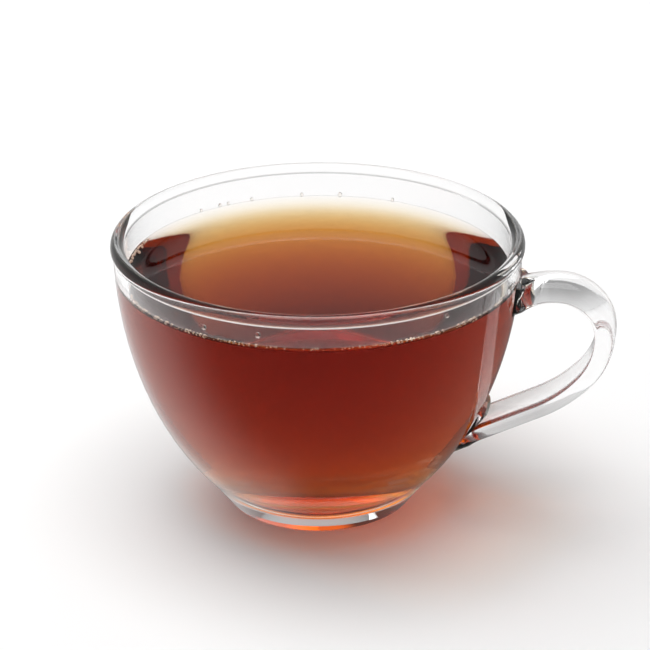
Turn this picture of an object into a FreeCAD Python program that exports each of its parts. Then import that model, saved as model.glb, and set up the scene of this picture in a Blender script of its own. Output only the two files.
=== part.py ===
import FreeCAD, Part

import math
import os

import Sketcher
from FreeCAD import Placement, Rotation, Vector

# A glass tea cup with a loop handle, filled with black tea. Millimetres.
# The origin is on the cup's axis, in the plane it stands on. +Z is up and +X points at the handle.

doc = FreeCAD.newDocument("tea_cup")
sheet = doc.addObject("Spreadsheet::Sheet", "sizes")
sheet.Label = "sizes"

# Driving sizes. Each one can be changed by itself.
DRIVING = [
    ("rim_diameter", 95.0, "across the rolled rim, at its widest"),
    ("cup_height", 65.5, "from the table to the top of the rim"),
    ("wall_thickness", 2.6, "of the bowl at the rim"),
    ("bead_proud", 0.6, "how far the rim's bead stands out of the wall"),
    ("foot_diameter", 45.0, "across the foot, near the table"),
    ("foot_height", 7.7, "up to the crease where the bowl begins"),
    ("foot_top_diameter", 55.5, "across that crease"),
    ("foot_cove_radius", 200.0, "faint hollow of the foot's sloping side"),
    ("foot_edge_radius", 1.0, "rounding of the foot's lower edge"),
    ("standing_ring_width", 1.0, "flat ring that touches the table"),
    ("punt_depth", 2.0, "hollow under the base"),
    ("punt_slope", 2.6, "run of the slope from the standing ring up into that hollow"),
    ("base_thickness", 5.2, "from the table to the floor inside"),
    ("heel_extra", 0.8, "how much thicker the wall grows low down"),
    ("floor_corner_radius", 40.0, "wide curve between the floor and the wall inside"),
    ("tea_below_rim", 10.2, "from the top of the rim down to the tea"),
    ("meniscus_rise", 2.2, "how far the tea climbs the wall"),
    ("meniscus_reach", 4.0, "how far from the wall the climb begins"),
    ("handle_width", 11.4, "of the handle's strap, across the cup"),
    ("handle_thickness", 4.6, "of the strap"),
    ("strap_outer_corner", 3.4, "rounding of the strap's outer corners"),
    ("strap_inner_corner", 0.9, "rounding of the corners by the fingers"),
    ("crown_drop", 9.2, "from the rim's top down to the strap's highest middle"),
    ("crown_reach", 9.1, "of that highest place beyond the wall"),
    ("crown_radius", 26.4, "of the strap from the wall to the crown"),
    ("knuckle_radius", 10.6, "of the turn at the top outside"),
    ("back_radius", 17.4, "of the strap below the knuckle"),
    ("back_turn", 40.0, "degrees that this curve turns"),
    ("tail_length", 26.3, "of the straight run that ends at the lower root"),
    ("lower_root_height", 14.5, "of the strap's middle where it ends in the wall"),
    ("root_sink", 1.0, "how far the roots run past the inner wall before it is cut"),
    ("pad_head_proud", 2.3, "how far the pad at each root stands off the wall at its top"),
    ("pad_foot_proud", 0.6, "how far it stands off at its foot"),
    ("pad_sink", 1.0, "how deep the pads reach into the wall"),
    ("pad_margin", 0.9, "how far a pad stands out beside the strap"),
    ("upper_pad_rise", 4.4, "from the strap's middle at the upper root up to that pad's top"),
    ("upper_pad_length", 7.0, "down from there to its foot"),
    ("lower_pad_rise", 10.7, "from the strap's middle at the lower root up to that pad's top"),
    ("lower_pad_length", 7.8, "down from there to its foot"),
    ("web_reach", 6.6, "of the web under the upper root, from the wall"),
    ("web_depth", 3.0, "from the strap's middle at the upper root down to the web's foot"),
    ("web_foot_reach", 1.4, "of the web's foot, from the wall"),
    ("web_inset", 0.2, "how much narrower the web is than the strap, each side"),
]

# Sizes that follow from them.
DERIVED = [
    ("bead_radius", "(wall_thickness + bead_proud) / 2"),
    ("bead_centre", "rim_diameter / 2 - bead_radius"),
    ("bowl_centre", "cup_height - bead_radius"),
    ("outer_radius", "rim_diameter / 2 - bead_proud"),
    ("inner_radius", "outer_radius - wall_thickness"),
    ("crease_radius", "foot_top_diameter / 2"),
    ("outer_drop", "(bowl_centre - foot_height) / sqrt(1 - (crease_radius / outer_radius)^2)"),
    ("inner_drop", "outer_drop - wall_thickness - heel_extra"),
    ("foot_flat_end", "foot_diameter / 2 - foot_edge_radius"),
    ("foot_flat_start", "foot_flat_end - standing_ring_width"),
    ("punt_radius", "foot_flat_start - punt_slope"),
    ("tea_level", "cup_height - tea_below_rim"),
    ("tea_line", "tea_level + meniscus_rise"),
    ("meniscus_radius", "(meniscus_reach^2 + meniscus_rise^2) / (2 * meniscus_rise)"),
    ("crown_x", "outer_radius + crown_reach"),
    ("crown_z", "cup_height - crown_drop"),
    ("upper_root_x", "inner_radius - root_sink"),
    ("upper_root_z", "crown_z - crown_radius + sqrt(crown_radius^2 - (crown_x - upper_root_x)^2)"),
    ("upper_root_rise", "asin((crown_x - upper_root_x) / crown_radius) / 1deg"),
    ("lower_root_x", "inner_radius * sqrt(1 - ((bowl_centre - lower_root_height) / inner_drop)^2) - root_sink"),
    ("upper_pad_top", "upper_root_z + upper_pad_rise"),
    ("upper_pad_bottom", "upper_pad_top - upper_pad_length"),
    ("lower_pad_top", "lower_root_height + lower_pad_rise"),
    ("lower_pad_bottom", "lower_pad_top - lower_pad_length"),
    ("upper_pad_top_x", "outer_radius * sqrt(1 - ((bowl_centre - upper_pad_top) / outer_drop)^2)"),
    ("upper_pad_bottom_x", "outer_radius * sqrt(1 - ((bowl_centre - upper_pad_bottom) / outer_drop)^2)"),
    ("lower_pad_top_x", "outer_radius * sqrt(1 - ((bowl_centre - lower_pad_top) / outer_drop)^2)"),
    ("lower_pad_bottom_x", "outer_radius * sqrt(1 - ((bowl_centre - lower_pad_bottom) / outer_drop)^2)"),
    ("upper_pad_angle", "2 * asin((handle_width / 2 + pad_margin) / upper_pad_top_x) / 1deg"),
    ("lower_pad_angle", "2 * asin((handle_width / 2 + pad_margin) / lower_pad_top_x) / 1deg"),
    ("web_root_x", "outer_radius - wall_thickness / 2"),
    ("web_foot_x", "outer_radius + web_foot_reach"),
    ("web_bottom", "upper_root_z - web_depth"),
    ("web_tip_x", "outer_radius + web_reach"),
    ("web_tip_z", "crown_z - handle_thickness / 2"),
    ("web_width", "handle_width - 2 * web_inset"),
]


def fill_sheet():
    row = 1
    for name, value, words in DRIVING:
        sheet.set(f"A{row}", name)
        sheet.set(f"B{row}", str(value))
        sheet.set(f"C{row}", words)
        sheet.setAlias(f"B{row}", name)
        row += 1
    for name, formula in DERIVED:
        sheet.set(f"A{row}", name)
        sheet.set(f"B{row}", "=" + formula)
        sheet.setAlias(f"B{row}", name)
        row += 1
    doc.recompute()


fill_sheet()

# The cells' values, which place each sketch's first geometry. The expressions then hold it.
S = {row[0]: float(sheet.get(row[0])) for row in DRIVING + DERIVED}

# The points of a sketch's own origin and of a piece of its geometry.
ORIGIN = (-1, 1)
START, END, CENTRE = 1, 2, 3
H_AXIS, V_AXIS = -1, -2

# Each halving of a range doubles how exactly a place in it is found.
HALVINGS = 60


def new_body(name):
    body = doc.addObject("PartDesign::Body", name)
    body.Label = name
    return body


def new_sketch(body, name, role="XZ_Plane"):
    sketch = body.newObject("Sketcher::SketchObject", name)
    plane = next(item for item in body.Origin.OriginFeatures if item.Role == role)
    sketch.AttachmentSupport = (plane, [""])
    sketch.MapMode = "FlatFace"
    return sketch


def line(sketch, start, end):
    return sketch.addGeometry(Part.LineSegment(Vector(*start, 0), Vector(*end, 0)), False)


def arc(sketch, centre, radius, first, last):
    """An arc that runs anticlockwise from the angle first to the angle last, in radians."""
    circle = Part.Circle(Vector(*centre, 0), Vector(0, 0, 1), radius)
    return sketch.addGeometry(Part.ArcOfCircle(circle, first, last), False)


def join(sketch, first, first_end, second, second_end):
    sketch.addConstraint(Sketcher.Constraint("Coincident", first, first_end, second, second_end))


def smooth(sketch, first, first_end, second, second_end):
    sketch.addConstraint(Sketcher.Constraint("Tangent", first, first_end, second, second_end))


def bound(sketch, kind, where, value, formula):
    """Adds a dimension and ties it to the sheet."""
    index = sketch.addConstraint(Sketcher.Constraint(kind, *where, value))
    sketch.setExpression(f"Constraints[{index}]", formula)


def at(sketch, geometry, end, x_cell=None, z_cell=None):
    """Holds a point of the sketch at cells of the sheet."""
    if x_cell:
        bound(sketch, "DistanceX", (*ORIGIN, geometry, end), S[x_cell], f"sizes.{x_cell}")
    if z_cell:
        bound(sketch, "DistanceY", (*ORIGIN, geometry, end), S[z_cell], f"sizes.{z_cell}")


def round_by(sketch, geometry, cell):
    bound(sketch, "Radius", (geometry,), S[cell], f"sizes.{cell}")


def on_axis(sketch, geometry, end):
    sketch.addConstraint(Sketcher.Constraint("PointOnObject", geometry, end, V_AXIS))


def level_with(sketch, first, first_end, second, second_end):
    sketch.addConstraint(Sketcher.Constraint("Horizontal", first, first_end, second, second_end))


def above(sketch, first, first_end, second, second_end):
    sketch.addConstraint(Sketcher.Constraint("Vertical", first, first_end, second, second_end))


# The bowl's two sides are quarters of upright ellipses about the same centre, in the plane of the rim.

def side_point(radius, drop, turn):
    """A point of such a side and the direction into the bowl there. turn is 0 at the bottom."""
    point = (radius * math.sin(turn), S["bowl_centre"] - drop * math.cos(turn))
    inward = (-drop * math.sin(turn), radius * math.cos(turn))
    size = math.hypot(*inward)
    return point, (inward[0] / size, inward[1] / size)


def side_turn(drop, height):
    return math.acos(min(1.0, (S["bowl_centre"] - height) / drop))


def halve(low, high, too_low):
    """The place between low and high where too_low turns false."""
    for _ in range(HALVINGS):
        middle = (low + high) / 2
        if too_low(middle):
            low = middle
        else:
            high = middle
    return (low + high) / 2


def add_side(sketch, radius_cell, drop_cell, first, last):
    """A stretch of a side, with both half axes and the centre held by the sheet."""
    radius, drop, middle = S[radius_cell], S[drop_cell], S["bowl_centre"]
    lowest = Vector(0, middle - drop, 0)
    ellipse = Part.Ellipse(lowest, Vector(radius, middle, 0), Vector(0, middle, 0))
    side = sketch.addGeometry(Part.ArcOfEllipse(ellipse, first, last), False)
    sketch.exposeInternalGeometry(side)
    upright, level = side + 1, side + 2
    on_axis(sketch, side, CENTRE)
    at(sketch, side, CENTRE, z_cell="bowl_centre")
    sketch.addConstraint(Sketcher.Constraint("Vertical", upright))
    bound(sketch, "Distance", (upright,), 2 * drop, f"2 * sizes.{drop_cell}")
    bound(sketch, "Distance", (level,), 2 * radius, f"2 * sizes.{radius_cell}")
    return side


def add_cavity(sketch, last):
    """The inside of the bowl: floor, corner and wall, up to the turn called last."""
    radius, drop = S["inner_radius"], S["inner_drop"]
    corner, floor = S["floor_corner_radius"], S["base_thickness"]

    def corner_height(turn):
        point, inward = side_point(radius, drop, turn)
        return point[1] + corner * inward[1]

    turn = halve(0.0, last, lambda value: corner_height(value) < floor + corner)
    point, inward = side_point(radius, drop, turn)
    middle = (point[0] + corner * inward[0], floor + corner)
    base = line(sketch, (0, floor), (middle[0], floor))
    bend = arc(sketch, middle, corner, -math.pi / 2, math.atan2(-inward[1], -inward[0]))
    wall = add_side(sketch, "inner_radius", "inner_drop", turn, last)
    on_axis(sketch, base, START)
    at(sketch, base, START, z_cell="base_thickness")
    sketch.addConstraint(Sketcher.Constraint("Horizontal", base))
    smooth(sketch, base, END, bend, START)
    round_by(sketch, bend, "floor_corner_radius")
    smooth(sketch, bend, END, wall, START)
    return base, wall


# ---- The glass cup: one piece of pressed glass, with its foot, rim and handle ----

def draw_blank(body):
    """The cup's outside, filled in: punt, standing ring, foot, bowl and the outer half of the bead."""
    sketch = new_sketch(body, "outside")
    edge, cove, crease = S["foot_edge_radius"], S["foot_cove_radius"], (S["crease_radius"], S["foot_height"])
    ring_in, ring_out = S["foot_flat_start"], S["foot_flat_end"]

    punt = line(sketch, (0, S["punt_depth"]), (S["punt_radius"], S["punt_depth"]))
    slope = line(sketch, (S["punt_radius"], S["punt_depth"]), (ring_in, 0))
    ring = line(sketch, (ring_in, 0), (ring_out, 0))

    # The cove's centre is outside the foot, a cove radius from the crease and outside the edge's arc.
    gap = (crease[0] - ring_out, crease[1] - edge)
    span = math.hypot(*gap)
    near = cove + edge
    cosine = (near ** 2 + span ** 2 - cove ** 2) / (2 * near * span)
    lean = math.atan2(gap[1], gap[0]) - math.acos(cosine)
    cove_centre = (ring_out + near * math.cos(lean), edge + near * math.sin(lean))
    lip = arc(sketch, (ring_out, edge), edge, -math.pi / 2, lean)
    crease_angle = math.atan2(crease[1] - cove_centre[1], crease[0] - cove_centre[0])
    hollow = arc(sketch, cove_centre, cove, crease_angle, lean + math.pi)

    # The bowl's side ends where it meets the bead's circle, under the bead.
    bead = (S["bead_centre"], S["bowl_centre"])

    def clear_of_bead(turn):
        point, _ = side_point(S["outer_radius"], S["outer_drop"], turn)
        return math.dist(point, bead) > S["bead_radius"]

    first = side_turn(S["outer_drop"], S["foot_height"])
    last = halve(first, math.pi / 2, clear_of_bead)
    neck, _ = side_point(S["outer_radius"], S["outer_drop"], last)
    side = add_side(sketch, "outer_radius", "outer_drop", first, last)
    neck_angle = math.atan2(neck[1] - bead[1], neck[0] - bead[0])
    bead_arc = arc(sketch, bead, S["bead_radius"], neck_angle, math.pi / 2)
    top = line(sketch, (S["bead_centre"], S["cup_height"]), (0, S["cup_height"]))
    middle = line(sketch, (0, S["cup_height"]), (0, S["punt_depth"]))

    join(sketch, middle, END, punt, START)
    on_axis(sketch, middle, END)
    on_axis(sketch, middle, START)
    sketch.addConstraint(Sketcher.Constraint("Horizontal", punt))
    at(sketch, punt, END, "punt_radius", "punt_depth")
    join(sketch, punt, END, slope, START)
    join(sketch, slope, END, ring, START)
    at(sketch, ring, START, "foot_flat_start")
    sketch.addConstraint(Sketcher.Constraint("PointOnObject", ring, START, H_AXIS))
    sketch.addConstraint(Sketcher.Constraint("Horizontal", ring))
    smooth(sketch, ring, END, lip, START)
    at(sketch, lip, CENTRE, "foot_flat_end")
    round_by(sketch, lip, "foot_edge_radius")
    smooth(sketch, lip, END, hollow, END)
    round_by(sketch, hollow, "foot_cove_radius")
    join(sketch, hollow, START, side, START)
    at(sketch, side, START, z_cell="foot_height")
    join(sketch, side, END, bead_arc, START)
    at(sketch, bead_arc, CENTRE, "bead_centre", "bowl_centre")
    round_by(sketch, bead_arc, "bead_radius")
    join(sketch, bead_arc, END, top, START)
    above(sketch, bead_arc, CENTRE, bead_arc, END)
    sketch.addConstraint(Sketcher.Constraint("Horizontal", top))
    join(sketch, top, END, middle, START)
    return sketch


def draw_cavity(body):
    """What the plunger leaves: the inside of the bowl and the inner half of the bead."""
    sketch = new_sketch(body, "inside")
    base, wall = add_cavity(sketch, math.pi / 2)
    bead = (S["bead_centre"], S["bowl_centre"])
    top = S["cup_height"] + S["bead_radius"]
    lip = arc(sketch, bead, S["bead_radius"], math.pi / 2, math.pi)
    rise = line(sketch, (S["bead_centre"], S["cup_height"]), (S["bead_centre"], top))
    across = line(sketch, (S["bead_centre"], top), (0, top))
    middle = line(sketch, (0, top), (0, S["base_thickness"]))
    join(sketch, wall, END, lip, END)
    at(sketch, lip, CENTRE, "bead_centre", "bowl_centre")
    level_with(sketch, lip, CENTRE, lip, END)
    above(sketch, lip, CENTRE, lip, START)
    join(sketch, lip, START, rise, START)
    sketch.addConstraint(Sketcher.Constraint("Vertical", rise))
    bound(sketch, "DistanceY", (rise, START, rise, END), S["bead_radius"], "sizes.bead_radius")
    join(sketch, rise, END, across, START)
    sketch.addConstraint(Sketcher.Constraint("Horizontal", across))
    join(sketch, across, END, middle, START)
    on_axis(sketch, middle, START)
    join(sketch, middle, END, base, START)
    return sketch


def draw_handle_path(body):
    """The middle line of the strap: up from the wall to the crown, round the knuckle and back in."""
    sketch = new_sketch(body, "handle_path")
    crown = (S["crown_x"], S["crown_z"])
    rise, turn = math.radians(S["upper_root_rise"]), math.radians(S["back_turn"])
    knuckle_centre = (crown[0], crown[1] - S["knuckle_radius"])
    back_centre = (crown[0] + S["knuckle_radius"] - S["back_radius"], knuckle_centre[1])
    out = (math.cos(turn), -math.sin(turn))
    back_end = (back_centre[0] + S["back_radius"] * out[0], back_centre[1] + S["back_radius"] * out[1])

    # The limb's curve goes on from the back and ends where the straight tail touches it. The tail's
    # length and the lower root's place set its radius.
    root = (S["lower_root_x"], S["lower_root_height"])
    run = (root[0] - back_end[0], root[1] - back_end[1])
    inward = -(run[0] * out[0] + run[1] * out[1])
    limb_radius = (math.hypot(*run) ** 2 - S["tail_length"] ** 2) / (2 * inward)
    limb_centre = (back_end[0] - limb_radius * out[0], back_end[1] - limb_radius * out[1])
    toward = math.atan2(root[1] - limb_centre[1], root[0] - limb_centre[0])
    touch = toward + math.atan2(S["tail_length"], limb_radius)
    end = (limb_centre[0] + limb_radius * math.cos(touch), limb_centre[1] + limb_radius * math.sin(touch))

    crown_centre = (crown[0], crown[1] - S["crown_radius"])
    top = arc(sketch, crown_centre, S["crown_radius"], math.pi / 2, math.pi / 2 + rise)
    knuckle = arc(sketch, knuckle_centre, S["knuckle_radius"], 0, math.pi / 2)
    back = arc(sketch, back_centre, S["back_radius"], -turn, 0)
    limb = arc(sketch, limb_centre, limb_radius, touch, -turn)
    tail = line(sketch, end, root)

    at(sketch, top, START, "crown_x", "crown_z")
    above(sketch, top, START, top, CENTRE)
    round_by(sketch, top, "crown_radius")
    at(sketch, top, END, "upper_root_x")
    smooth(sketch, top, START, knuckle, END)
    round_by(sketch, knuckle, "knuckle_radius")
    level_with(sketch, knuckle, START, knuckle, CENTRE)
    smooth(sketch, knuckle, START, back, END)
    round_by(sketch, back, "back_radius")
    bound(sketch, "Angle", (back,), turn, "sizes.back_turn * 1deg")
    smooth(sketch, back, START, limb, END)
    smooth(sketch, limb, START, tail, START)
    bound(sketch, "Distance", (tail,), S["tail_length"], "sizes.tail_length")
    at(sketch, tail, END, "lower_root_x", "lower_root_height")
    return sketch


def draw_strap(body):
    """The strap's section at its upper root, square to the path. Its outer corners are the rounder."""
    sketch = new_sketch(body, "strap", "YZ_Plane")
    tilt = Rotation(Vector(-1, 0, 0), S["upper_root_rise"])
    sketch.AttachmentOffset = Placement(Vector(0, S["upper_root_z"], S["upper_root_x"]), tilt)
    sketch.setExpression("AttachmentOffset.Base.y", "sizes.upper_root_z * 1mm")
    sketch.setExpression("AttachmentOffset.Base.z", "sizes.upper_root_x * 1mm")
    sketch.setExpression("AttachmentOffset.Rotation.Angle", "sizes.upper_root_rise * 1deg")
    half, deep = S["handle_width"] / 2, S["handle_thickness"] / 2
    outer, inner = S["strap_outer_corner"], S["strap_inner_corner"]
    quarter = math.pi / 2
    bottom = line(sketch, (inner - half, -deep), (half - inner, -deep))
    low_right = arc(sketch, (half - inner, inner - deep), inner, -quarter, 0)
    right = line(sketch, (half, inner - deep), (half, deep - outer))
    high_right = arc(sketch, (half - outer, deep - outer), outer, 0, quarter)
    top = line(sketch, (half - outer, deep), (outer - half, deep))
    high_left = arc(sketch, (outer - half, deep - outer), outer, quarter, math.pi)
    left = line(sketch, (-half, deep - outer), (-half, inner - deep))
    low_left = arc(sketch, (inner - half, inner - deep), inner, math.pi, 3 * quarter)
    smooth(sketch, bottom, END, low_right, START)
    smooth(sketch, low_right, END, right, START)
    smooth(sketch, right, END, high_right, START)
    smooth(sketch, high_right, END, top, START)
    smooth(sketch, top, END, high_left, START)
    smooth(sketch, high_left, END, left, START)
    smooth(sketch, left, END, low_left, START)
    smooth(sketch, low_left, END, bottom, START)
    sketch.addConstraint(Sketcher.Constraint("Horizontal", bottom))
    sketch.addConstraint(Sketcher.Constraint("Horizontal", top))
    sketch.addConstraint(Sketcher.Constraint("Vertical", left))
    sketch.addConstraint(Sketcher.Constraint("Vertical", right))
    for corner, cell in ((low_right, "strap_inner_corner"), (low_left, "strap_inner_corner"),
                         (high_right, "strap_outer_corner"), (high_left, "strap_outer_corner")):
        round_by(sketch, corner, cell)
    bound(sketch, "DistanceX", (*ORIGIN, right, START), half, "sizes.handle_width / 2")
    bound(sketch, "DistanceX", (left, START, *ORIGIN), half, "sizes.handle_width / 2")
    bound(sketch, "DistanceY", (*ORIGIN, top, START), deep, "sizes.handle_thickness / 2")
    bound(sketch, "DistanceY", (bottom, START, *ORIGIN), deep, "sizes.handle_thickness / 2")
    return sketch


def draw_pad(body, name):
    """A pad on the wall, thicker towards its top: its section, with both ends square to the wall's chord."""
    sketch = new_sketch(body, name)
    low = (S[f"{name}_bottom_x"], S[f"{name}_bottom"])
    high = (S[f"{name}_top_x"], S[f"{name}_top"])
    length = math.dist(low, high)
    out = ((high[1] - low[1]) / length, (low[0] - high[0]) / length)
    foot_proud, head_proud, sink = S["pad_foot_proud"], S["pad_head_proud"], S["pad_sink"]

    def moved(point, by):
        return (point[0] + by * out[0], point[1] + by * out[1])

    chord = line(sketch, low, high)
    sketch.setConstruction(chord, True)
    foot = line(sketch, moved(low, -sink), moved(low, foot_proud))
    face = line(sketch, moved(low, foot_proud), moved(high, head_proud))
    head = line(sketch, moved(high, head_proud), moved(high, -sink))
    back = line(sketch, moved(high, -sink), moved(low, -sink))
    at(sketch, chord, START, f"{name}_bottom_x", f"{name}_bottom")
    at(sketch, chord, END, f"{name}_top_x", f"{name}_top")
    join(sketch, foot, END, face, START)
    join(sketch, face, END, head, START)
    join(sketch, head, END, back, START)
    join(sketch, back, END, foot, START)
    for edge, chord_end, inner_end, outer_end, cell in ((foot, START, START, END, "pad_foot_proud"),
                                                        (head, END, END, START, "pad_head_proud")):
        sketch.addConstraint(Sketcher.Constraint("Perpendicular", edge, chord))
        sketch.addConstraint(Sketcher.Constraint("PointOnObject", chord, chord_end, edge))
        bound(sketch, "Distance", (chord, chord_end, edge, outer_end), S[cell], f"sizes.{cell}")
        bound(sketch, "Distance", (chord, chord_end, edge, inner_end), sink, "sizes.pad_sink")
    return sketch


def draw_web(body):
    """The web that fills the corner under the upper root."""
    sketch = new_sketch(body, "web")
    corners = [("web_root_x", "web_bottom"), ("web_foot_x", "web_bottom"),
               ("web_tip_x", "web_tip_z"), ("web_root_x", "web_tip_z")]
    points = [(S[x_cell], S[z_cell]) for x_cell, z_cell in corners]
    edges = [line(sketch, point, points[(index + 1) % len(points)]) for index, point in enumerate(points)]
    for index, (x_cell, z_cell) in enumerate(corners):
        join(sketch, edges[index - 1], END, edges[index], START)
        at(sketch, edges[index], START, x_cell, z_cell)
    return sketch


def turn_about_axis(body, kind, name, sketch, degrees=None):
    """A Revolution or Groove of the sketch about the cup's axis."""
    feature = body.newObject(kind, name)
    feature.Profile = sketch
    feature.ReferenceAxis = (sketch, ["V_Axis"])
    if degrees:
        feature.Midplane = True
        feature.setExpression("Angle", f"sizes.{degrees} * 1deg")
    else:
        feature.Angle = 360
    return feature


def make_cup():
    body = new_body("glass_cup")
    turn_about_axis(body, "PartDesign::Revolution", "blank", draw_blank(body))
    doc.recompute()
    path = draw_handle_path(body)
    strap = draw_strap(body)
    doc.recompute()
    handle = body.newObject("PartDesign::AdditivePipe", "handle")
    handle.Profile = strap
    handle.Spine = path
    doc.recompute()
    for name in ("upper_pad", "lower_pad"):
        turn_about_axis(body, "PartDesign::Revolution", f"{name}_turn", draw_pad(body, name), f"{name}_angle")
        doc.recompute()
    web = body.newObject("PartDesign::Pad", "web_pad")
    web.Profile = draw_web(body)
    web.Midplane = True
    web.setExpression("Length", "sizes.web_width * 1mm")
    doc.recompute()
    turn_about_axis(body, "PartDesign::Groove", "cavity", draw_cavity(body))
    doc.recompute()
    return body


# ---- The tea: one solid that fills the bowl to its level and climbs a little at the wall ----

def draw_tea(body):
    sketch = new_sketch(body, "tea_section")
    line_turn = side_turn(S["inner_drop"], S["tea_line"])
    base, wall = add_cavity(sketch, line_turn)
    contact, _ = side_point(S["inner_radius"], S["inner_drop"], line_turn)
    radius, level = S["meniscus_radius"], S["tea_level"]
    start_x = contact[0] - S["meniscus_reach"]
    centre = (start_x, level + radius)
    last = math.atan2(contact[1] - centre[1], contact[0] - centre[0])
    climb = arc(sketch, centre, radius, -math.pi / 2, last)
    surface = line(sketch, (0, level), (start_x, level))
    middle = line(sketch, (0, S["base_thickness"]), (0, level))
    at(sketch, wall, END, z_cell="tea_line")
    join(sketch, climb, END, wall, END)
    smooth(sketch, surface, END, climb, START)
    round_by(sketch, climb, "meniscus_radius")
    sketch.addConstraint(Sketcher.Constraint("Horizontal", surface))
    at(sketch, surface, START, z_cell="tea_level")
    join(sketch, middle, END, surface, START)
    join(sketch, middle, START, base, START)
    on_axis(sketch, middle, END)
    return sketch


def make_tea():
    body = new_body("tea")
    turn_about_axis(body, "PartDesign::Revolution", "tea_turn", draw_tea(body))
    doc.recompute()
    return body


pieces = [make_cup(), make_tea()]
doc.recompute()

for item in doc.Objects:
    if "Invalid" in item.State or "Error" in item.State:
        raise RuntimeError(f"{item.Label} failed: {item.State}")
for piece in pieces:
    if piece.Shape.isNull() or not piece.Shape.isValid() or len(piece.Shape.Solids) != 1:
        raise RuntimeError(f"{piece.Label} is not one sound solid")

os.makedirs("parts", exist_ok=True)
for piece in pieces:
    box = piece.Shape.optimalBoundingBox(False)
    print(f"{piece.Label}: {piece.Shape.Volume / 1000:.2f} ml,"
          f" x {box.XMin:.2f} to {box.XMax:.2f}, y {box.YMin:.2f} to {box.YMax:.2f},"
          f" z {box.ZMin:.2f} to {box.ZMax:.2f}")
    piece.Shape.exportStep(f"parts/{piece.Label}.step")
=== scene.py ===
import math
import random

import bmesh
import bpy
from mathutils import Matrix, Vector


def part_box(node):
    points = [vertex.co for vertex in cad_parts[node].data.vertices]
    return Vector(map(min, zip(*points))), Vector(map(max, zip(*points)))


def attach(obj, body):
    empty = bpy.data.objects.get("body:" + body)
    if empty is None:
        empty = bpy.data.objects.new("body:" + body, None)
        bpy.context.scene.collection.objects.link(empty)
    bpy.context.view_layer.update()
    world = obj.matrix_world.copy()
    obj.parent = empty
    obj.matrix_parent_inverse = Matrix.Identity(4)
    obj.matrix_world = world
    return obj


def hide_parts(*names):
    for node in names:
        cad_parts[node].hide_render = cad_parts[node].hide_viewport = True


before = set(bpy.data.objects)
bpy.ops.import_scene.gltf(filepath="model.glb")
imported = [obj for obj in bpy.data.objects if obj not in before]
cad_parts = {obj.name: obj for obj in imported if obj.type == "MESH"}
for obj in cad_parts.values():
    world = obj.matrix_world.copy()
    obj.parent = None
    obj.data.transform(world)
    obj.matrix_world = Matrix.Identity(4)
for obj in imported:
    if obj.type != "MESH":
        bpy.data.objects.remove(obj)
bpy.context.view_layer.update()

# ---- The glass cup ----
# One piece of clear pressed glass: a round bowl on a short foot, with a rolled rim and a strap handle
# whose ends are fused to the wall. The mould gives the outside and a plunger gives the inside.

cup_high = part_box("glass_cup")[1]
RIM_RADIUS = cup_high.y
CUP_HEIGHT = cup_high.z
WALL = 0.0026
BEAD_PROUD = 0.0006
BEAD_RADIUS = (WALL + BEAD_PROUD) / 2
BEAD_CENTRE = RIM_RADIUS - BEAD_RADIUS
BOWL_TOP = CUP_HEIGHT - BEAD_RADIUS
OUTER_RADIUS = RIM_RADIUS - BEAD_PROUD
INNER_RADIUS = OUTER_RADIUS - WALL

FOOT_HEIGHT = 0.0077
CREASE_RADIUS = 0.02775
COVE_RADIUS = 0.2
FOOT_EDGE = 0.001
RING_OUTSIDE = 0.0215
RING_INSIDE = 0.0205
PUNT_RADIUS = 0.0179
PUNT_DEPTH = 0.002
FLOOR_HEIGHT = 0.0052
FLOOR_CORNER = 0.04
HEEL_EXTRA = 0.0008

OUTER_DROP = (BOWL_TOP - FOOT_HEIGHT) / math.sqrt(1 - (CREASE_RADIUS / OUTER_RADIUS) ** 2)
INNER_DROP = OUTER_DROP - WALL - HEEL_EXTRA

# The inner wall is wet up to the tea's edge.
WET_TURN = math.acos((BOWL_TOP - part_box("tea")[1].z) / INNER_DROP)

ROUND_STEPS = 256
FLOOR_STEPS = 6
CORNER_STEPS = 14
COVE_STEPS = 14
EDGE_STEPS = 8
SIDE_STEPS = 80
BEAD_STEPS = 24
BEAD_CLEAR = 1.02
NECK_TURN = 0.12
DRY_STEPS = 12
WET_STEPS = 60
CUP_SHARP = math.radians(28)
HALVINGS = 50


def wall_radius(radius, drop, height):
    """The bowl's side is a quarter of an upright ellipse: its radius at a height."""
    return radius * math.sqrt(1 - ((BOWL_TOP - height) / drop) ** 2)


def bend(centre, radius, first, last, steps):
    """Points along an arc in the plane of a section, from one angle to another."""
    return [(centre[0] + radius * math.cos(first + (last - first) * i / steps),
             centre[1] + radius * math.sin(first + (last - first) * i / steps)) for i in range(steps + 1)]


def floor_corner():
    """Where the round corner between floor and wall leaves the wall: its centre and that point's turn."""
    low, high = 0.0, math.pi / 2
    for _ in range(HALVINGS):
        turn = (low + high) / 2
        inward = Vector((-INNER_DROP * math.sin(turn), INNER_RADIUS * math.cos(turn))).normalized()
        point = Vector((INNER_RADIUS * math.sin(turn), BOWL_TOP - INNER_DROP * math.cos(turn)))
        centre = point + inward * FLOOR_CORNER
        low, high = (turn, high) if centre.y < FLOOR_HEIGHT + FLOOR_CORNER else (low, turn)
    return centre, math.atan2(-inward.y, -inward.x), turn


def inside_wall(first_turn, last_turn, steps, clearance=0.0):
    """A stretch of the inner wall, upwards. Its turn is 0 under the axis and a quarter at the top."""
    turns = [first_turn + (last_turn - first_turn) * i / steps for i in range(steps + 1)]
    return [((INNER_RADIUS - clearance) * math.sin(t), BOWL_TOP - (INNER_DROP - clearance) * math.cos(t))
            for t in turns]


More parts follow.
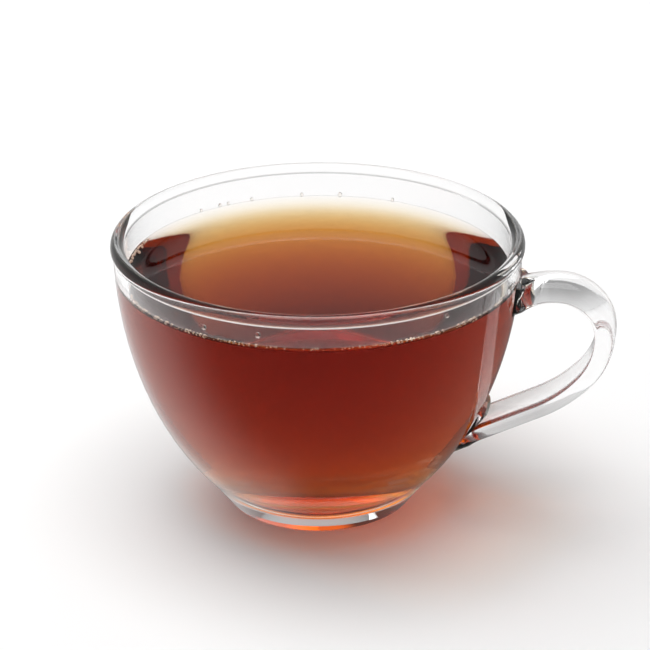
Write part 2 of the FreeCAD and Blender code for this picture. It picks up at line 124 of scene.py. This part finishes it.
def inside_outline(top_turn, steps, clearance=0.0):
    """From the middle of the floor out and up the wall. A clearance below zero goes into the glass."""
    centre, leave, turn = floor_corner()
    radius = FLOOR_CORNER - clearance
    floor = centre.y - radius
    points = [(centre.x * i / FLOOR_STEPS, floor) for i in range(FLOOR_STEPS)]
    points += bend(centre, radius, -math.pi / 2, leave, CORNER_STEPS)[:-1]
    return points + inside_wall(turn, top_turn, steps, clearance)


def cup_outline():
    """The cup's section, from the middle of the underside round the rim to the middle of the floor."""
    points = [(PUNT_RADIUS * i / 4, PUNT_DEPTH) for i in range(5)]
    points += [(RING_INSIDE, 0.0)]

    # The foot's hollow side: an arc that starts smoothly from the rounded edge and ends at the crease.
    edge_centre = Vector((RING_OUTSIDE, FOOT_EDGE))
    crease = Vector((CREASE_RADIUS, FOOT_HEIGHT))
    gap = crease - edge_centre
    near = COVE_RADIUS + FOOT_EDGE
    corner = (near ** 2 + gap.length_squared - COVE_RADIUS ** 2) / (2 * near * gap.length)
    lean = math.atan2(gap.y, gap.x) - math.acos(corner)
    cove_centre = edge_centre + near * Vector((math.cos(lean), math.sin(lean)))
    points += bend(edge_centre, FOOT_EDGE, -math.pi / 2, lean, EDGE_STEPS)
    ends = math.atan2(crease.y - cove_centre.y, crease.x - cove_centre.x)
    points += bend(cove_centre, COVE_RADIUS, lean + math.pi, ends % (2 * math.pi), COVE_STEPS)[1:]

    # The bowl's outside, up to the bead, then the bead and down the inside.
    first = math.acos((BOWL_TOP - FOOT_HEIGHT) / OUTER_DROP)
    bead = Vector((BEAD_CENTRE, BOWL_TOP))
    side = []
    for i in range(1, SIDE_STEPS + 1):
        t = first + (math.pi / 2 - first) * i / SIDE_STEPS
        point = Vector((OUTER_RADIUS * math.sin(t), BOWL_TOP - OUTER_DROP * math.cos(t)))
        if (point - bead).length > BEAD_RADIUS * BEAD_CLEAR:
            side.append(point)
    neck = side[-1] - bead
    points += [tuple(p) for p in side]
    points += bend(bead, BEAD_RADIUS, math.atan2(neck.y, neck.x) + NECK_TURN, math.pi, BEAD_STEPS)
    points += inside_wall(WET_TURN, math.pi / 2, DRY_STEPS)[-2::-1]
    return points, points + inside_outline(WET_TURN, WET_STEPS)[-2::-1]


def placed(name, shape):
    """Makes a finished shape into an object that stands in the scene."""
    mesh = bpy.data.meshes.new(name)
    shape.to_mesh(mesh)
    shape.free()
    piece = bpy.data.objects.new(name, mesh)
    bpy.context.scene.collection.objects.link(piece)
    return piece


def turned(name, outline, dry=None):
    """Turns an outline that starts and ends on the axis into a closed mesh, wet after its dry points."""
    shape = bmesh.new()
    rings = []
    for r, z in outline:
        if r < 1e-9:
            rings.append([shape.verts.new((0, 0, z))])
        else:
            rings.append([shape.verts.new((r * math.cos(a), r * math.sin(a), z))
                          for a in (2 * math.pi * k / ROUND_STEPS for k in range(ROUND_STEPS))])
    for band, (low, high) in enumerate(zip(rings, rings[1:])):
        for k in range(ROUND_STEPS):
            corners = [low[k % len(low)], low[(k + 1) % ROUND_STEPS % len(low)],
                       high[(k + 1) % ROUND_STEPS % len(high)], high[k % len(high)]]
            kept = [v for i, v in enumerate(corners) if v not in corners[:i]]
            shape.faces.new(kept).material_index = 1 if dry and band >= dry - 1 else 0
    bmesh.ops.recalc_face_normals(shape, faces=shape.faces)
    return placed(name, shape)


def finish(name, settings):
    """A node material with these values on its shader's own sockets, and its nodes and links."""
    material = bpy.data.materials.new(name)
    material.use_nodes = True
    tree = material.node_tree
    for socket, value in settings.items():
        tree.nodes["Principled BSDF"].inputs[socket].default_value = value
    return material, tree.nodes, tree.links


clear_glass, nodes, links = finish("clear_glass", {
    "Base Color": (1, 1, 1, 1), "Roughness": 0.0, "IOR": 1.5, "Transmission Weight": 1.0})
# Pressed glass is faintly wavy where the mould chilled it.
place = nodes.new("ShaderNodeTexCoord")
waves = nodes.new("ShaderNodeTexNoise")
waves.inputs["Scale"].default_value = 55.0
waves.inputs["Detail"].default_value = 1.0
wavy = nodes.new("ShaderNodeBump")
wavy.inputs["Strength"].default_value = 0.35
wavy.inputs["Distance"].default_value = 0.0002
links.new(place.outputs["Object"], waves.inputs["Vector"])
links.new(waves.outputs["Fac"], wavy.inputs["Height"])
links.new(wavy.outputs["Normal"], nodes["Principled BSDF"].inputs["Normal"])
# Where tea lies against the glass the two hardly mirror anything between them.
wet_glass = clear_glass.copy()
wet_glass.name = "wet_glass"
wet_glass.node_tree.nodes["Principled BSDF"].inputs["Specular Tint"].default_value = (0, 0, 0, 1)

dry_outline, whole_outline = cup_outline()
cup = turned("cup", whole_outline, len(dry_outline))
cup.data.materials.append(clear_glass)
cup.data.materials.append(wet_glass)

# The handle: a strap, flat by the fingers and round outside, that leaves the wall near the rim, turns
# over at the knuckle and runs back in low down. It spreads where it is fused to the wall.
STRAP_WIDTH = 0.0114
STRAP_THICKNESS = 0.0046
STRAP_OUTER_CORNER = 0.0034
STRAP_INNER_CORNER = 0.0009
CROWN = Vector((OUTER_RADIUS + 0.0091, CUP_HEIGHT - 0.0092))
CROWN_RADIUS = 0.0264
KNUCKLE_RADIUS = 0.0106
BACK_RADIUS = 0.0174
BACK_TURN = math.radians(40)
TAIL_LENGTH = 0.0263
LOWER_ROOT_HEIGHT = 0.0145
ROOT_DEPTH = 0.0014
ROOT_SINK = 0.001
COLLAR_REACH = 0.0022
COLLAR_SPREAD = 0.0005
WEB_REACH = 0.0066
WEB_DEPTH = 0.0012
WEB_CURVE = 1.4
RUN_STEPS = 80
UPPER_PAD = (0.0504, 0.0574)
LOWER_PAD = (0.0174, 0.0252)
PAD_FOOT_PROUD = 0.0006
PAD_HEAD_PROUD = 0.0023
PAD_MARGIN = 0.0009
PAD_SUNK = 0.0001
PAD_ROUNDED = 0.15
PAD_SWELL = 5
PAD_STEPS = 16


def strap_line():
    """The strap's middle line as points with the direction that faces out of the loop at each."""
    crown_centre = CROWN - Vector((0, CROWN_RADIUS))
    knuckle = CROWN - Vector((0, KNUCKLE_RADIUS))
    back = knuckle + Vector((KNUCKLE_RADIUS - BACK_RADIUS, 0))
    facing = Vector((math.cos(BACK_TURN), -math.sin(BACK_TURN)))
    root = Vector((wall_radius(INNER_RADIUS, INNER_DROP, LOWER_ROOT_HEIGHT) - ROOT_SINK, LOWER_ROOT_HEIGHT))
    rest = root - back - BACK_RADIUS * facing
    limb_radius = (rest.length_squared - TAIL_LENGTH ** 2) / (-2 * rest.dot(facing))
    limb = back + (BACK_RADIUS - limb_radius) * facing
    away = root - limb
    touch = math.atan2(away.y, away.x) + math.atan2(TAIL_LENGTH, limb_radius)
    rise = math.asin((CROWN.x - INNER_RADIUS + ROOT_DEPTH) / CROWN_RADIUS)
    line = []
    for centre, radius, first, last, steps in (
            (crown_centre, CROWN_RADIUS, math.pi / 2 + rise, math.pi / 2, 30),
            (knuckle, KNUCKLE_RADIUS, math.pi / 2, 0, 24),
            (back, BACK_RADIUS, 0, -BACK_TURN, 16),
            (limb, limb_radius, -BACK_TURN, touch, 20)):
        arc = bend(centre, radius, first, last, steps)
        out = bend((0, 0), 1, first, last, steps)
        line += list(zip(map(Vector, arc), map(Vector, out)))[(1 if line else 0):]
    # The straight run into the lower root goes on through the wall.
    last_point, last_out = line[-1]
    run = root - last_point + (root - last_point).normalized() * ROOT_DEPTH
    line += [(last_point + run * i / RUN_STEPS, last_out) for i in range(1, RUN_STEPS + 1)]
    return line


def strap_section(spread, web, steps=8):
    """The strap's section round its middle line: across it, and out of the loop."""
    half, deep = STRAP_WIDTH / 2 + spread, STRAP_THICKNESS / 2
    low = -deep - web
    outer, inner = STRAP_OUTER_CORNER, STRAP_INNER_CORNER
    quarter = math.pi / 2
    return (bend((half - inner, low + inner), inner, -quarter, 0, steps)
            + bend((half - outer, deep + spread / 2 - outer), outer, 0, quarter, steps)
            + bend((outer - half, deep + spread / 2 - outer), outer, quarter, 2 * quarter, steps)
            + bend((inner - half, low + inner), inner, 2 * quarter, 3 * quarter, steps))


def made_solid(name, rings):
    """Skins a row of rings of points and closes both ends."""
    shape = bmesh.new()
    made = [[shape.verts.new(point) for point in ring] for ring in rings]
    for low, high in zip(made, made[1:]):
        for k in range(len(low)):
            after = (k + 1) % len(low)
            shape.faces.new((low[k], low[after], high[after], high[k]))
    shape.faces.new(made[0])
    shape.faces.new(made[-1])
    bmesh.ops.recalc_face_normals(shape, faces=shape.faces)
    return placed(name, shape)


strap_rings = []
for point, out in strap_line():
    off_wall = max(0.0, point.x - wall_radius(OUTER_RADIUS, OUTER_DROP, point.y))
    collar = COLLAR_SPREAD * max(0.0, 1 - off_wall / COLLAR_REACH) ** 2
    upper = point.y > BOWL_TOP / 2
    web = WEB_DEPTH * max(0.0, 1 - off_wall / WEB_REACH) ** WEB_CURVE if upper else 0.0
    strap_rings.append([(point.x + out.x * deep, across, point.y + out.y * deep)
                        for across, deep in strap_section(collar, web)])
strap = made_solid("strap", strap_rings)
strap.data.materials.append(clear_glass)


def wall_pad(name, low, high):
    """A pad under a root: it hugs the wall between two heights and stands prouder towards its top."""
    half_turn = math.asin((STRAP_WIDTH / 2 + PAD_MARGIN) / wall_radius(OUTER_RADIUS, OUTER_DROP, high))
    rings = []
    for step in range(2 * PAD_STEPS + 1):
        share = step / PAD_STEPS - 1
        turn = share * half_turn
        swell = math.sqrt(1 - abs(share) ** PAD_SWELL)
        section = []
        for rise in (k / PAD_STEPS for k in range(PAD_STEPS + 1)):
            height = low + (high - low) * rise
            past = max(0.0, (rise - (1 - PAD_ROUNDED)) / PAD_ROUNDED)
            shoulder = math.sqrt(max(0.0, 1 - past ** 2))
            proud = (PAD_FOOT_PROUD + (PAD_HEAD_PROUD - PAD_FOOT_PROUD) * rise) * swell * shoulder
            section.append((wall_radius(OUTER_RADIUS, OUTER_DROP, height) + proud - PAD_SUNK, height))
        for height in (high, (low + high) / 2, low):
            section.append((wall_radius(OUTER_RADIUS, OUTER_DROP, height) - WALL / 2, height))
        rings.append([(r * math.cos(turn), r * math.sin(turn), z) for r, z in section])
    return made_solid(name, rings)


def join_glass(piece, other, operation):
    """Cuts the other solid out of the piece, or fuses it on, and removes the other."""
    step = piece.modifiers.new("join", "BOOLEAN")
    step.operation = operation
    step.solver = "EXACT"
    step.object = other
    bpy.context.view_layer.update()
    made = bpy.data.meshes.new_from_object(piece.evaluated_get(bpy.context.evaluated_depsgraph_get()))
    piece.modifiers.clear()
    piece.data = made
    bpy.data.objects.remove(other)


# The strap is trimmed half way through the wall, then fused to it.
core_outline = inside_outline(math.pi / 2, 40, -WALL / 2)
core_top = CUP_HEIGHT + STRAP_THICKNESS
core_outline += [(core_outline[-1][0], core_top), (0, core_top)]
core = turned("core", core_outline)
core.data.materials.append(clear_glass)
join_glass(strap, core, "DIFFERENCE")
for pad_name, (pad_low, pad_high) in (("upper_pad", UPPER_PAD), ("lower_pad", LOWER_PAD)):
    pad = wall_pad(pad_name, pad_low, pad_high)
    pad.data.materials.append(clear_glass)
    join_glass(cup, pad, "UNION")
join_glass(cup, strap, "UNION")
cup.data.name = "cup"
cup.data.shade_smooth()
cup.data.set_sharp_from_angle(angle=CUP_SHARP)

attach(cup, "root")
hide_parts("glass_cup")

# ---- The tea ----
# Strained black tea, clear and red-brown, which fills the bowl to a finger's width under the rim and
# climbs the wall a little. It is drawn a hair into the glass so that no air shows between them.

TEA_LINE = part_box("tea")[1].z
MENISCUS_RISE = 0.0022
TEA_LEVEL = TEA_LINE - MENISCUS_RISE
MENISCUS_FADE = 0.0016
INTO_GLASS = 0.00025
CLIMB_STEPS = 40
LEVEL_STEPS = 12
TEA_SHARP = math.radians(30)
# What each metre of tea takes out of red, green and blue light.
TAKEN = (22.5, 64.0, 155.0)

contact = wall_radius(INNER_RADIUS, INNER_DROP, TEA_LINE)


def tea_height(radius):
    """The tea lies level and climbs towards the wall, ever more steeply."""
    return TEA_LEVEL + MENISCUS_RISE * math.exp((radius - contact) / MENISCUS_FADE)


tea_outline = inside_outline(WET_TURN, WET_STEPS, -INTO_GLASS)
for i in range(CLIMB_STEPS + 1):
    r = contact - 7 * MENISCUS_FADE * (i / CLIMB_STEPS) ** 1.5
    tea_outline.append((r, tea_height(r)))
climb_from = tea_outline[-1][0]
tea_outline += [(climb_from * (1 - i / LEVEL_STEPS), TEA_LEVEL) for i in range(1, LEVEL_STEPS + 1)]
tea = turned("tea_fill", tea_outline)
tea.data.shade_smooth()
tea.data.set_sharp_from_angle(angle=TEA_SHARP)

black_tea, nodes, links = finish("black_tea", {
    "Base Color": (1, 1, 1, 1), "Roughness": 0.0, "IOR": 1.33, "Transmission Weight": 1.0,
    "Specular Tint": (0, 0, 0, 1)})
brew = nodes.new("ShaderNodeVolumeAbsorption")
brew.inputs["Density"].default_value = max(TAKEN)
brew.inputs["Color"].default_value = (*[1 - taken / max(TAKEN) for taken in TAKEN], 1)
links.new(brew.outputs["Volume"], nodes["Material Output"].inputs["Volume"])
tea.data.materials.append(black_tea)
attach(tea, "root")
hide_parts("tea")

# ---- The bubbles ----
# Tiny air bubbles from the pouring, gathered where the tea meets the wall: a few clusters, and between
# them a loose string of single ones. Each is a thin dome that floats half out of the tea.

BUBBLE_SMALLEST = 0.00015
BUBBLE_LARGEST = 0.00042
BUBBLE_RISE = 0.6
CLUSTER_TURNS = (170, 175, 181, 187, 220, 231, 243, 257, 257, 303, 315, 327)
CLUSTER_SPREAD = 2.2
CLUSTER_BUBBLES = 9
CLUSTER_SIZES = (0.4, 1.0)
LOOSE_BUBBLES = 190
LOOSE_TURNS = (166, 345)
LOOSE_SIZES = (0.0, 0.4)
BUBBLE_TUCK = 0.9
BUBBLE_STRAY = 0.0002

chance = random.Random(7)


def add_ball(shape, centre, radius, flatten=1.0, rings=6, spokes=10):
    """Adds a small round bead to a mesh in the making."""
    made = bmesh.ops.create_uvsphere(shape, u_segments=spokes, v_segments=rings, radius=radius)
    for vert in made["verts"]:
        vert.co = Vector((vert.co.x, vert.co.y, vert.co.z * flatten)) + centre


def finish_beads(name, shape, material):
    """Turns the beads gathered in a mesh into one piece that rides with the cup."""
    piece = placed(name, shape)
    piece.data.shade_smooth()
    piece.data.materials.append(material)
    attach(piece, "root")


def lies_clear(spot, radius, others):
    """Whether a bubble of this radius touches none of the others."""
    return all((spot - centre).length > radius + size for centre, size in others)


spots = [(chance.gauss(turn, CLUSTER_SPREAD), chance.uniform(*CLUSTER_SIZES))
         for turn in CLUSTER_TURNS for _ in range(CLUSTER_BUBBLES)]
spots += [(chance.uniform(*LOOSE_TURNS), chance.uniform(*LOOSE_SIZES)) for _ in range(LOOSE_BUBBLES)]
foam = bmesh.new()
settled = []
for turn, share in spots:
    size = BUBBLE_SMALLEST + (BUBBLE_LARGEST - BUBBLE_SMALLEST) * share
    r = contact - size * BUBBLE_TUCK - abs(chance.gauss(0.0, BUBBLE_STRAY))
    a = math.radians(turn)
    spot = Vector((r * math.cos(a), r * math.sin(a), tea_height(r) + size * BUBBLE_RISE))
    if lies_clear(spot, size, settled):
        settled.append((spot, size))
        add_ball(foam, spot, size)


def bead_finish(name, settings, scale, darker, lighter):
    """A clear finish whose tint wanders a little from bead to bead."""
    material, nodes, links = finish(name, settings)
    patches = nodes.new("ShaderNodeTexNoise")
    patches.inputs["Scale"].default_value = scale
    tints = nodes.new("ShaderNodeValToRGB")
    tints.color_ramp.elements[0].color = darker
    tints.color_ramp.elements[1].color = lighter
    links.new(patches.outputs["Fac"], tints.inputs["Fac"])
    links.new(tints.outputs["Color"], nodes["Principled BSDF"].inputs["Base Color"])
    return material


bubble_film = bead_finish("bubble_film", {"Roughness": 0.12, "IOR": 1.33, "Transmission Weight": 0.45},
                          900.0, (0.95, 0.62, 0.42, 1), (1.0, 0.95, 0.88, 1))
finish_beads("bubbles", foam, bubble_film)

# ---- The droplets ----
# A few clear drops on the inside of the wall, left there as the tea was poured. The ones at the back
# sit at the tea's edge, and the ones in front hang a little over it, where it splashed.

DROP_TURNS = (139, 133, 128, 121, 105, 91, 76, 248, 262, 318)
DROP_ABOVE_TEA = 0.0004
DROP_SIZES = (0.00035, 0.0006)
SPLASH_HEIGHTS = (0.001, 0.003)
FRONT_FROM_TURN = 200
DROP_SUNK = 0.3
DROP_STRAY = 1.5
DROP_TALL = 1.15

drops = bmesh.new()
for turn in DROP_TURNS:
    size = chance.uniform(*DROP_SIZES)
    splash = 0.0 if turn < FRONT_FROM_TURN else chance.uniform(*SPLASH_HEIGHTS)
    height = TEA_LINE + DROP_ABOVE_TEA + splash
    r = wall_radius(INNER_RADIUS, INNER_DROP, height) - size * DROP_SUNK
    a = math.radians(turn + chance.uniform(-DROP_STRAY, DROP_STRAY))
    spot = Vector((r * math.cos(a), r * math.sin(a), height))
    add_ball(drops, spot, size, DROP_TALL, rings=8, spokes=14)
water_drop = bead_finish("water_drop", {"Roughness": 0.0, "IOR": 1.33, "Transmission Weight": 1.0},
                         400.0, (0.94, 0.88, 0.8, 1), (1.0, 1.0, 1.0, 1))
finish_beads("droplets", drops, water_drop)

# ---- The table and the light ----
# A plain white table, painted and matt, under one large soft light that hangs high behind and to the
# left. The room around it is pale, and darker in front and low down, which gives the glass its edges.

TABLE_SIZE = 4.0
PANEL_SIZE = 1.2
PANEL_POWER = 9.5
PANEL_AIM = Vector((0, 0, 0.03))

table_shape = bmesh.new()
bmesh.ops.create_grid(table_shape, x_segments=1, y_segments=1, size=TABLE_SIZE)
table = placed("table", table_shape)
white_table = finish("white_table", {
    "Base Color": (0.9, 0.9, 0.9, 1), "Roughness": 0.9, "Specular IOR Level": 0.0})[0]
table.data.materials.append(white_table)
table.visible_glossy = False

HANDLE_TURN = math.radians(9.74)
back = Vector((-math.sin(HANDLE_TURN), math.cos(HANDLE_TURN), 0))
left = Vector((-back.y, back.x, 0))

room = bpy.data.worlds.new("room")
bpy.context.scene.world = room
room.use_nodes = True
nodes, links = room.node_tree.nodes, room.node_tree.links
outward = nodes.new("ShaderNodeTexCoord")


def room_fade(direction, first, last, dark, light):
    """A smooth change of the room's brightness along a direction, between two values or other fades."""
    along = nodes.new("ShaderNodeVectorMath")
    along.operation = "DOT_PRODUCT"
    along.inputs[1].default_value = direction.normalized()
    fade = nodes.new("ShaderNodeMapRange")
    fade.interpolation_type = "SMOOTHSTEP"
    for name, value in (("From Min", first), ("From Max", last), ("To Min", dark), ("To Max", light)):
        if isinstance(value, float):
            fade.inputs[name].default_value = value
        else:
            links.new(value, fade.inputs[name])
    links.new(outward.outputs["Generated"], along.inputs[0])
    links.new(along.outputs["Value"], fade.inputs["Value"])
    return fade.outputs["Result"]


up = Vector((0, 0, 1))
from_front = back + 0.7 * left
middle = room_fade(from_front, -0.85, 0.15, 0.52, 0.77)
high = room_fade(from_front, -0.85, 0.15, 0.12, 0.35)
low_back = room_fade(back, -0.45, 0.3, 0.18, 1.0)
low = room_fade(left, 0.0, 0.3, 0.18, low_back)
walls = room_fade(up, -0.1, 0.75, middle, high)
ceiling = room_fade(up, 0.86, 0.94, walls, 2.7)
brightness = room_fade(up, -0.5, -0.15, low, ceiling)
links.new(brightness, nodes["Background"].inputs["Color"])
nodes["Background"].inputs["Strength"].default_value = 1.0

panel = bpy.data.lights.new("panel", "AREA")
panel.shape = "SQUARE"
panel.size = PANEL_SIZE
panel.energy = PANEL_POWER
hung = bpy.data.objects.new("panel", panel)
bpy.context.scene.collection.objects.link(hung)
hung.location = 0.45 * back + 0.6 * left + 1.1 * up
hung.visible_glossy = False
hung.rotation_euler = (PANEL_AIM - hung.location).to_track_quat("-Z", "Y").to_euler()

# ---- The camera ----
# It stands in front of the cup and a little to the side of square on, and looks down on it through a
# long lens.

LENS_LENGTH = 136.96
CAMERA_AWAY = 0.5245
CAMERA_HEIGHT = 0.2804
LOOK_DOWN = math.radians(24.40)
LOOK_ASIDE = math.radians(0.17)
CAMERA_ROLL = math.radians(0.34)
lens = bpy.data.cameras.new("camera")
lens.sensor_width = 36.0
lens.lens = LENS_LENGTH
lens.clip_start = 0.01
camera = bpy.data.objects.new("camera", lens)
bpy.context.scene.collection.objects.link(camera)
camera.matrix_world = (Matrix.Translation(-back * CAMERA_AWAY + Vector((0, 0, CAMERA_HEIGHT)))
                       @ Matrix.Rotation(HANDLE_TURN - LOOK_ASIDE, 4, "Z")
                       @ Matrix.Rotation(math.pi / 2 - LOOK_DOWN, 4, "X")
                       @ Matrix.Rotation(-CAMERA_ROLL, 4, "Z"))
bpy.context.scene.camera = camera

scene = bpy.context.scene
scene.view_settings.view_transform = "Standard"
scene.cycles.max_bounces = 32
scene.cycles.transmission_bounces = 32
scene.cycles.glossy_bounces = 16
scene.cycles.volume_bounces = 2
scene.cycles.caustics_refractive = True
scene.cycles.caustics_reflective = True
scene.cycles.blur_glossy = 0.0
